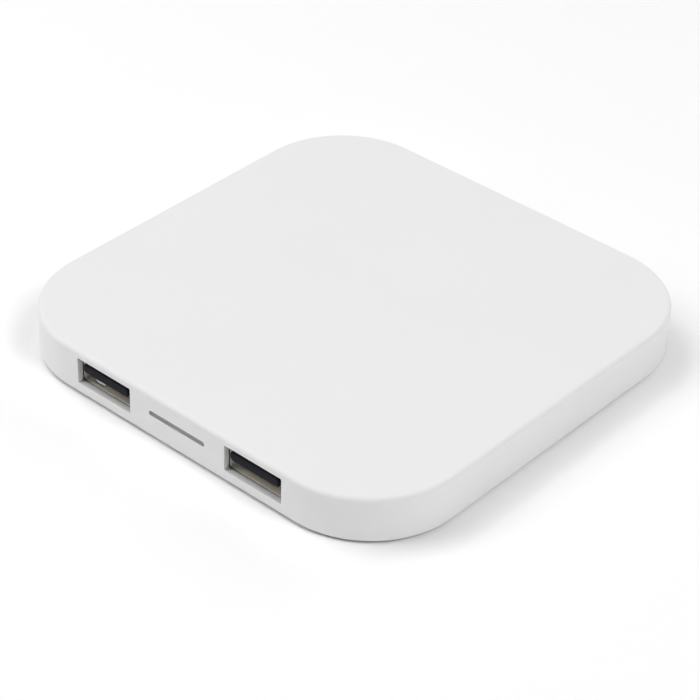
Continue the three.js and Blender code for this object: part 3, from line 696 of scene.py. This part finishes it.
def outlet_insulator(side):
    """The black tongue with four contact grooves, and the block behind it."""
    low, high = node_box(f"usb_a_insulator_{side}")
    place = OUTLETS[side]
    width, height, corner = TONGUE
    block_front = node_box(f"usb_a_shell_{side}")[1].y - OUTLET_BLOCK_LENGTH
    bottom = TONGUE_TOP - height
    middle = TONGUE_TOP - height / 2

    def tongue(bm):
        nose = [(0.3, 0.0), (0.12, 0.05), (0.04, 0.14), (0.0, 0.3)]
        rings = [wall_ring(rounded_outline(width - 2 * inset, height - 2 * inset, corner - inset * 0.5, 6),
                           low.y + y, place.x, middle) for inset, y in nose]
        rings.append(wall_ring(rounded_outline(*TONGUE, 6), block_front + 0.5, place.x, middle))
        loft(bm, rings)

    def block(bm):
        soft_bar(bm, (12.3, high.z - low.z, 0.35), block_front, high.y, 0.15, place.x, place.z)

    def grooves(bm):
        for number in range(1, 5):
            x = outlet_contact_box(side, number)[0]
            box(bm, (x - 0.6, low.y + 0.75, bottom - 0.45), (x + 0.6, high.y + PAST, bottom + 0.22))

    piece = build(f"outlet_tongue_{side}", tongue, block, grooves)
    dress(piece, BLACK_INSULATOR, "port_plastic", f"usb_a_insulator_{side}")


def outlet_contact(side, number):
    """A sprung gold strip: hooked into the tongue, bowed down, and stepped to the board behind the shell."""
    x, low, high = outlet_contact_box(side, number)
    top = high.z - 0.08
    bow = [(low.y, top + 0.1), (low.y + 0.5, top), (low.y + 1.3, top - 0.42), (low.y + 2.0, top - 0.5),
           (low.y + 3.0, top - 0.28), (low.y + 4.6, top - 0.02), (low.y + 6, top)]
    rear = high.y - 1.2
    route = smooth_route(bow) + [(rear - 0.35, top), (rear - 0.08, top - 0.1), (rear, top - 0.3)]
    route += [(rear, low.z + 0.3), (rear + 0.08, low.z + 0.15), (rear + 0.3, low.z + 0.1), (high.y, low.z + 0.1)]
    piece = build(f"outlet_contact_{side}_{number}", lambda bm: ribbon(bm, route, 1.0, 0.18, x))
    dress(piece, CONTACT_GOLD, "contact_gold", f"usb_a_contact_{side}_{number}")


# -------------------- power inlet


def inlet_section(inset):
    """Flat on top, with its two lower corners cut off."""
    width, height, bevel = INLET_OUTSIDE
    x, z, b = width / 2 - inset, height / 2 - inset, bevel - inset / 2
    return rounded_polygon([(-x, z), (-x, b - z), (b - x, -z), (x - b, -z), (x, b - z), (x, z)], 0.25)


def inlet_shell():
    """The inlet's steel shell, with a flared mouth, two latch holes and four solder tabs."""
    rear, front = inlet_low.y, inlet_high.y
    outside = [(0, rear + 0.05), (0, front - 0.75), (-0.05, front - 0.5), (-0.24, front - 0.12), (-0.24, front)]
    inside = [(-0.1, front), (0.08, front - 0.35), (SHEET, front - 0.75), (SHEET, rear + 0.05)]
    closing = [(SHEET - 0.05, rear), (0.05, rear)]

    def tube(bm):
        rings = [wall_ring(inlet_section(inset), y, 0, INLET_Z) for inset, y in outside + inside + closing]
        loft(bm, rings, loop=True)

    def tabs(bm):
        half = INLET_OUTSIDE[0] / 2
        for y in (rear + 1.2, rear + 3.2):
            for sign in (-1, 1):
                route = [(sign * x, CHIP_Z + SHEET / 2) for x in (half - 0.95, half + 0.3, half + 0.65, half + 0.95)]
                ribbon(bm, route, 1.2, SHEET * 0.95, y, swap=True)

    def latch_holes(bm):
        for x in (-1.7, 1.7):
            box(bm, (x - 0.45, rear + 2.2, INLET_Z + 0.5), (x + 0.45, rear + 3.9, INLET_Z + 2))

    piece = build("inlet_shell", tube, tabs, latch_holes)
    dress(piece, PORT_STEEL, "port_steel", "micro_usb_shell")


def inlet_insulator():
    """The inlet's block and thin tongue, with a groove for each contact."""
    low, high = node_box("micro_usb_insulator")
    block_front = low.y + 1.3

    def grooves(bm):
        for number in range(1, 6):
            x = node_middle(f"micro_usb_contact_{number}").x
            box(bm, (x - 0.2, low.y - PAST, INLET_Z - 0.5), (x + 0.2, high.y - 0.5, INLET_Z - 0.02))

    piece = build(
        "inlet_tongue",
        lambda bm: bar(bm, inlet_section(SHEET + 0.1), low.y, block_front, 0, INLET_Z),
        lambda bm: soft_bar(bm, INLET_TONGUE, block_front - 0.4, high.y, 0.1, 0, INLET_Z + 0.2, 3),
        grooves,
    )
    dress(piece, BLACK_INSULATOR, "port_plastic", "micro_usb_insulator")


def inlet_contact(number):
    """A thin gold strip under the inlet's tongue, stepped down to the board behind the shell."""
    low, high = node_box(f"micro_usb_contact_{number}")
    x, top = (low.x + high.x) / 2, high.z - 0.07
    rear = low.y + 0.87
    route = [(low.y, low.z + 0.08), (rear - 0.3, low.z + 0.08), (rear - 0.08, low.z + 0.12), (rear, low.z + 0.3),
             (rear, top - 0.25), (rear + 0.08, top - 0.05), (rear + 0.3, top), (rear + 2.6, top),
             (rear + 3.2, top - 0.06), (rear + 3.8, top - 0.06), (high.y - 0.3, top), (high.y, top + 0.05)]
    piece = build(f"inlet_contact_{number}", lambda bm: ribbon(bm, route, 0.3, 0.13, x))
    dress(piece, CONTACT_GOLD, "contact_gold", f"micro_usb_contact_{number}")


# -------------------- circuit board

pads = []


def solder_pad(x, y, width, depth):
    """Notes a soldered pad on the board's top, to be made with the others."""
    pads.append((x, y, width, depth))


def solder_pads():
    """All the tinned pads, each a thin plate with soft edges."""
    def draw(bm):
        for x, y, width, depth in pads:
            plate(bm, width, depth, 0.08, board_high.z - 0.01, CHIP_Z - 0.005, 0.015, 2, (x, y))

    dress(build("board_pads", draw), TINNED_LEGS, "port_steel")


def main_board():
    """The board, slotted for the outlets and holed for the bosses."""
    middle = (0.0, (board_low.y + board_high.y) / 2)
    width, depth = board_high.x - board_low.x, board_high.y - board_low.y

    def gaps(bm):
        half = OUTLET_OUTSIDE[0] / 2 + 0.2
        back = node_box("usb_a_shell_left")[1].y + 0.3
        for place in OUTLETS.values():
            outline = [(place.x - half, FRONT), (place.x + half, FRONT), (place.x + half, back),
                       (place.x - half, back)]
            loft(bm, [[(x, y, z) for x, y in outline] for z in (board_low.z - PAST, board_high.z + PAST)])
        for x, y in CORNERS.values():
            post(bm, x, y, board_low.z - PAST, board_high.z + PAST, BOSS_RADIUS + 0.2)

    piece = build("circuit_board",
                  lambda bm: plate(bm, width, depth, 15, board_low.z, board_high.z, 0.06, 20, middle), None, gaps)
    dress(piece, BOARD_MASK, "board_green", "main_board")


def part_place(node):
    """The middle of a board component in plan, and its size."""
    low, high = node_box(node)
    return ((low + high) / 2).xy, high - low


def leg_places(count, pitch=1.27):
    """Places along X of a row of legs, centred on zero."""
    return [(i - (count - 1) / 2) * pitch for i in range(count)]


def legged_chip(name, node, count):
    """A moulded chip with a parting line and a pin mark, and its two rows of gull-wing legs."""
    centre, size = part_place(node)
    half = size.y / 2 - 0.95
    height = size.z
    waist = height * 0.55
    profile = [(0.22, 0.1), (0.16, 0.12), (0.03, waist - 0.06), (0.03, waist - 0.03), (0.0, waist - 0.03),
               (0.0, waist + 0.03), (0.03, waist + 0.03), (0.14, height - 0.04), (0.2, height)]

    def body(bm):
        loft(bm, [plan_ring(size.x, 2 * half, 0.18, CHIP_Z + z, inset, 3, centre) for inset, z in profile])

    def mark(bm):
        x, y = centre.x - size.x / 2 + 0.95, centre.y - half + 0.95
        turned(bm, [(0.33, CHIP_Z + height + 1), (0.33, CHIP_Z + height - 0.04), (0.25, CHIP_Z + height - 0.08)],
               (x, y), 24)

    def legs(bm):
        for offset in leg_places(count):
            for sign in (-1, 1):
                bend = [(half - 0.25, waist), (half + 0.2, waist), (half + 0.35, waist - 0.08),
                        (half + 0.42, waist * 0.5), (half + 0.5, 0.14), (half + 0.62, 0.08), (half + 0.94, 0.07)]
                route = [(centre.y + sign * y, CHIP_Z + z) for y, z in bend]
                ribbon(bm, route, 0.4, 0.14, centre.x + offset)
                solder_pad(centre.x + offset, centre.y + sign * (half + 0.75), 0.6, 0.75)

    piece = build(name, body, None, mark)
    dress(piece, CHIP_EPOXY, "chip_epoxy", node)
    dress(build(f"{name}_legs", legs), TINNED_LEGS, "port_steel")


def flat_chip(name, node):
    """A leadless chip with sawn sides and a dimple at its first pad."""
    centre, size = part_place(node)
    top = CHIP_Z + size.z

    def dimple(bm):
        turned(bm, [(0.3, top + 1), (0.3, top - 0.03), (0.22, top - 0.07)],
               (centre.x - size.x / 2 + 0.8, centre.y + size.y / 2 - 0.8), 24)

    piece = build(name, lambda bm: plate(bm, size.x, size.y, 0.15, CHIP_Z, top, 0.04, 3, centre), None, dimple)
    dress(piece, CHIP_EPOXY, "chip_epoxy", node)
    for step in leg_places(8, 0.65):
        for sign in (-1, 1):
            solder_pad(centre.x + step, centre.y + sign * (size.y / 2 - 0.05), 0.3, 0.6)
            solder_pad(centre.x + sign * (size.x / 2 - 0.05), centre.y + step, 0.6, 0.3)


def chip_capacitor(name, node):
    """A ceramic block with two soldered metal ends."""
    centre, size = part_place(node)
    end, lip = size.x * 0.18, 0.05

    def ends(bm):
        for sign in (-1, 1):
            middle = (centre.x + sign * (size.x - end) / 2, centre.y)
            plate(bm, end, size.y, 0.12, CHIP_Z, CHIP_Z + size.z, 0.08, 3, middle)
            solder_pad(centre.x + sign * (size.x / 2), centre.y, 0.9, size.y)

    piece = build(name, lambda bm: plate(bm, size.x - 1.6 * end, size.y - 2 * lip, 0.08, CHIP_Z + lip,
                                         CHIP_Z + size.z - lip, 0.04, 3, centre))
    dress(piece, CHIP_CERAMIC, "chip_ceramic", node)
    dress(build(f"{name}_ends", ends), TINNED_LEGS, "port_steel")


def choke():
    """A ferrite bobbin with flanges and the copper winding between them."""
    centre, size = part_place("choke")
    bottom, top = CHIP_Z, CHIP_Z + size.z
    radius = size.x / 2 - 0.75

    def flanges(bm):
        plate(bm, size.x, size.y, 0.9, bottom, bottom + 0.6, 0.08, 5, centre)
        plate(bm, size.x, size.y, 0.9, top - 0.6, top, 0.08, 5, centre)

    def winding(bm):
        profile = [(radius - 0.2, bottom + 0.61)]
        wires = 4
        pitch = (size.z - 1.24) / wires
        for wire in range(wires):
            z = bottom + 0.62 + pitch * (wire + 0.5)
            profile += [(radius - pitch / 2 + r, z + dz) for r, dz in arc((0, 0), pitch / 2, -85, 85, 6)]
        profile.append((radius - 0.2, top - 0.61))
        turned(bm, profile, centre, 48)

    def middle(bm):
        post(bm, centre.x, centre.y, bottom + 0.4, top - 0.4, radius - 0.4)

    dress(build("choke_core", flanges, middle), CHOKE_FERRITE, "choke_ferrite", "choke")
    dress(build("choke_winding", winding), COIL_COPPER, "coil_copper")
    for sign in (-1, 1):
        solder_pad(centre.x + sign * 2.2, centre.y, 1.2, 4)


def crystal():
    """A drawn metal can on its ceramic base."""
    centre, size = part_place("crystal")
    top = CHIP_Z + size.z
    piece = build(
        "crystal_can",
        lambda bm: plate(bm, size.x, size.y, 0.2, CHIP_Z, CHIP_Z + 0.35, 0.04, 4, centre),
        lambda bm: plate(bm, size.x - 0.3, size.y - 0.3, 0.4, CHIP_Z + 0.3, top, 0.14, 6, centre),
    )
    dress(piece, CRYSTAL_CAN, "crystal_can", "crystal")
    for sx in (-1, 1):
        for sy in (-1, 1):
            solder_pad(centre.x + sx * 1.2, centre.y + sy * 0.9, 1.1, 0.9)


# -------------------- coil stack


def coil_route():
    """The wire's centreline: in from the board under the turns, round the spiral, and out to the board."""
    level, under, landed = COIL_Z, 6.2, CHIP_Z + 0.5
    lead_x, lead_end = COIL_LEAD_X, node_box("charging_coil")[1].y
    inner_lead = [(-lead_x, lead_end, landed), (-lead_x, 30.8, landed), (-lead_x, 28.8, landed + 0.4),
                  (-lead_x, 26.4, under - 0.1), (-lead_x, 23, under), (-lead_x, 17, under), (-lead_x, 11.5, under),
                  (-lead_x, 9.6, under + 0.1), (-lead_x, 7.8, level - 0.4), (-lead_x - 0.2, 5.6, level),
                  (-4.9, 3, level), (-7.4, 0.4, level), (-9.3, -1.9, level)]
    start, turns, inner, pitch = 200, 9 + 220 / 360, 10.8, 1.175
    samples = round(turns * 20)
    spiral = []
    for i in range(samples + 1):
        turn = turns * i / samples
        angle = math.radians(start + 360 * turn)
        radius = inner + pitch * turn
        spiral.append((radius * math.cos(angle), radius * math.sin(angle), level))
    outer_lead = [(7.4, 21.3, level), (4.8, 23.2, level), (lead_x + 0.4, 25.4, level),
                  (lead_x, 27.4, level - 0.8), (lead_x, 29, level - 1.9), (lead_x, 30.6, landed + 0.1),
                  (lead_x, lead_end, landed)]
    return [Vector(point) for point in inner_lead + spiral + outer_lead]


def even_steps(points, step):
    """The smooth line through points, cut into even steps."""
    dense = []
    last = len(points) - 1
    for i in range(last):
        before, start, end, after = points[max(i - 1, 0)], points[i], points[i + 1], points[min(i + 2, last)]
        length = (end - start).length
        leaving = (end - before).normalized() * length / 3
        arriving = (after - start).normalized() * length / 3
        dense += interpolate_bezier(start, start + leaving, end - arriving, end, 13)[:-1]
    dense.append(points[-1])
    even, travelled = [dense[0]], 0.0
    for before, after in zip(dense, dense[1:]):
        stretch = (after - before).length
        while travelled + stretch >= step:
            before = before.lerp(after, (step - travelled) / stretch)
            stretch = (after - before).length
            travelled = 0.0
            even.append(before)
        travelled += stretch
    return even


def charging_coil():
    """Stranded wire, swept as one rope of six twisted strands."""
    wire_radius, strands, points, step, lay = 0.5, 6, 24, 0.7, 14.0
    route = even_steps(coil_route(), step)

    def rope(bm):
        rings = []
        for i, here in enumerate(route):
            ahead = (route[min(i + 1, len(route) - 1)] - route[max(i - 1, 0)]).normalized()
            side = ahead.cross(Vector((0, 0, 1))).normalized()
            above = side.cross(ahead)
            twist = 2 * math.pi * i * step / lay
            ring = []
            for k in range(points):
                angle = 2 * math.pi * k / points
                strand = abs(math.cos(strands / 2 * (angle - twist)))
                radius = wire_radius * (0.86 + 0.14 * strand)
                ring.append(here + radius * (math.cos(angle) * side + math.sin(angle) * above))
            rings.append(ring)
        loft(bm, rings)

    dress(build("coil_winding", rope), COIL_COPPER, "coil_copper", "charging_coil", sharp_over=70)
    for x in (-COIL_LEAD_X, COIL_LEAD_X):
        solder_pad(x, 32.2, 1.6, 2.4)


def ferrite_and_film():
    """The ferrite sheet, slotted for the inner lead, and the adhesive film that holds the coil up."""
    low, high = node_box("ferrite_sheet")
    side = high.x - low.x
    slot_x, slot_half = -COIL_LEAD_X, 0.9

    def sheet(bm):
        plate(bm, side, side, 2, low.z, high.z, 0.08, 6)

    def slot(bm):
        box(bm, (slot_x - slot_half, 4, low.z - PAST), (slot_x + slot_half, 30, high.z + PAST))

    dress(build("ferrite_plate", sheet, None, slot), FERRITE, "ferrite", "ferrite_sheet")

    film_low, film_high = node_box("coil_adhesive")
    radius, bottom, top, edge = film_high.x, film_low.z, film_high.z, 0.05
    profile = [(1.0, bottom), (radius - edge, bottom), (radius, bottom + edge), (radius, top - edge),
               (radius - edge, top), (1.0, top)]
    film = build("adhesive_disc", lambda bm: turned(bm, profile, (0, 0), 96))
    dress(film, ADHESIVE, "adhesive_film", "coil_adhesive")


# -------------------- assembly

top_shell()
base_cover()
for corner in CORNERS:
    rubber_foot(corner)
    threaded_screw(corner)
status_light()
for side in OUTLETS:
    outlet_shell(side)
    outlet_insulator(side)
    for number in range(1, 5):
        outlet_contact(side, number)

inlet_shell()
inlet_insulator()
for number in range(1, 6):
    inlet_contact(number)

main_board()
charging_coil()
ferrite_and_film()
legged_chip("outlet_chip", "port_controller", 8)
legged_chip("bridge_front", "bridge_chip_1", 4)
legged_chip("bridge_back", "bridge_chip_2", 4)
flat_chip("power_chip", "wireless_controller")
crystal()
choke()
for number in range(1, 5):
    chip_capacitor(f"tank_capacitor_{number}", f"resonant_capacitor_{number}")
for number in (1, 2):
    chip_capacitor(f"supply_capacitor_{number}", f"input_capacitor_{number}")
solder_pads()

# -------------------- floor, light and camera

# In metres. The floor fills the view, and ends before the softboxes' light fades on it.
FLOOR_REACH = 0.6
SOFTBOX_SIDE = 0.45

# Each softbox's name, bearing, elevation and power. Bearing 0 is -Y, and 90 is +X.
SOFTBOXES = (
    ("right_low", 90, 28, 0.95),
    ("right_high", 90, 52, 4.48),
    ("behind", 180, 28, 1.85),
    ("left_high", 270, 52, 1.94),
    ("left_top", 270, 70, 2.05),
    ("front_left_low", 315, 28, 2.1),
    ("front_left_high", 315, 52, 2.33),
)

# The world shines up to the first height (the sine of its elevation) and is dark over the second.
WORLD_STRENGTH = 1.12
WORLD_FADE = (0.08, 0.18)

CAMERA = {"bearing": 40.8, "elevation": 35.97, "roll": 1.77, "distance": 425.4, "target": (7.13, -9.57, 6.5)}
SENSOR_WIDTH = 36
FOCAL_LENGTH = 125.964


def floor():
    """A pale square sheet at the table's height."""
    bm = bmesh.new()
    corners = [(sx * FLOOR_REACH, sy * FLOOR_REACH, 0) for sx, sy in ((-1, -1), (1, -1), (1, 1), (-1, 1))]
    bm.faces.new([bm.verts.new(corner) for corner in corners])
    piece = link("floor", bm)
    finish = Finish("studio_floor", (0.93, 0.93, 0.93), 0.9)
    finish.vary_color(finish.noise(3), 0.004)
    piece.data.materials.append(finish.material)


def softbox(name, bearing, elevation, power):
    """A square softbox one metre from the pad, turned towards it."""
    around, above = math.radians(bearing), math.radians(elevation)
    place = Vector((math.sin(around) * math.cos(above), -math.cos(around) * math.cos(above), math.sin(above)))
    light = bpy.data.lights.new(name, "AREA")
    light.shape = "SQUARE"
    light.size = SOFTBOX_SIDE
    light.energy = power
    lamp = bpy.data.objects.new(name, light)
    lamp.location = place
    lamp.rotation_mode = "QUATERNION"
    lamp.rotation_quaternion = (-place).to_track_quat("-Z", "Y")
    bpy.context.scene.collection.objects.link(lamp)


def studio():
    """Softboxes round the pad, and a world that is white along the horizon and dark overhead."""
    for name, bearing, elevation, power in SOFTBOXES:
        softbox(name, bearing, elevation, power)
    world = bpy.data.worlds.new("studio")
    world.use_nodes = True
    nodes, links = world.node_tree.nodes, world.node_tree.links
    direction = nodes.new("ShaderNodeTexCoord")
    parts = nodes.new("ShaderNodeSeparateXYZ")
    fade = nodes.new("ShaderNodeMapRange")
    fade.interpolation_type = "SMOOTHSTEP"
    fade.inputs["From Min"].default_value, fade.inputs["From Max"].default_value = WORLD_FADE
    fade.inputs["To Min"].default_value, fade.inputs["To Max"].default_value = WORLD_STRENGTH, 0.0
    links.new(direction.outputs["Generated"], parts.inputs["Vector"])
    links.new(parts.outputs["Z"], fade.inputs["Value"])
    links.new(fade.outputs["Result"], nodes["Background"].inputs["Strength"])
    nodes["Background"].inputs["Color"].default_value = (1, 1, 1, 1)
    bpy.context.scene.world = world
    bpy.context.scene.view_settings.view_transform = "Standard"


def camera():
    """Looks down over the corner between the outlets' side and the right-hand side."""
    bearing, elevation, roll = (math.radians(CAMERA[turn]) for turn in ("bearing", "elevation", "roll"))
    target = Vector(CAMERA["target"]) * MM
    back = Vector((math.sin(bearing) * math.cos(elevation), -math.cos(bearing) * math.cos(elevation),
                   math.sin(elevation)))
    right = Vector((math.cos(bearing), math.sin(bearing), 0))
    up = back.cross(right)
    right_rolled = math.cos(roll) * right + math.sin(roll) * up
    up_rolled = math.cos(roll) * up - math.sin(roll) * right
    data = bpy.data.cameras.new("camera")
    data.sensor_width = SENSOR_WIDTH
    data.lens = FOCAL_LENGTH
    data.clip_start, data.clip_end = 0.01, 20
    eye = bpy.data.objects.new("camera", data)
    turn = Matrix((right_rolled, up_rolled, back)).transposed().to_4x4()
    eye.matrix_world = Matrix.Translation(target + back * (CAMERA["distance"] * MM)) @ turn
    bpy.context.scene.collection.objects.link(eye)
    bpy.context.scene.camera = eye


floor()
studio()
camera()
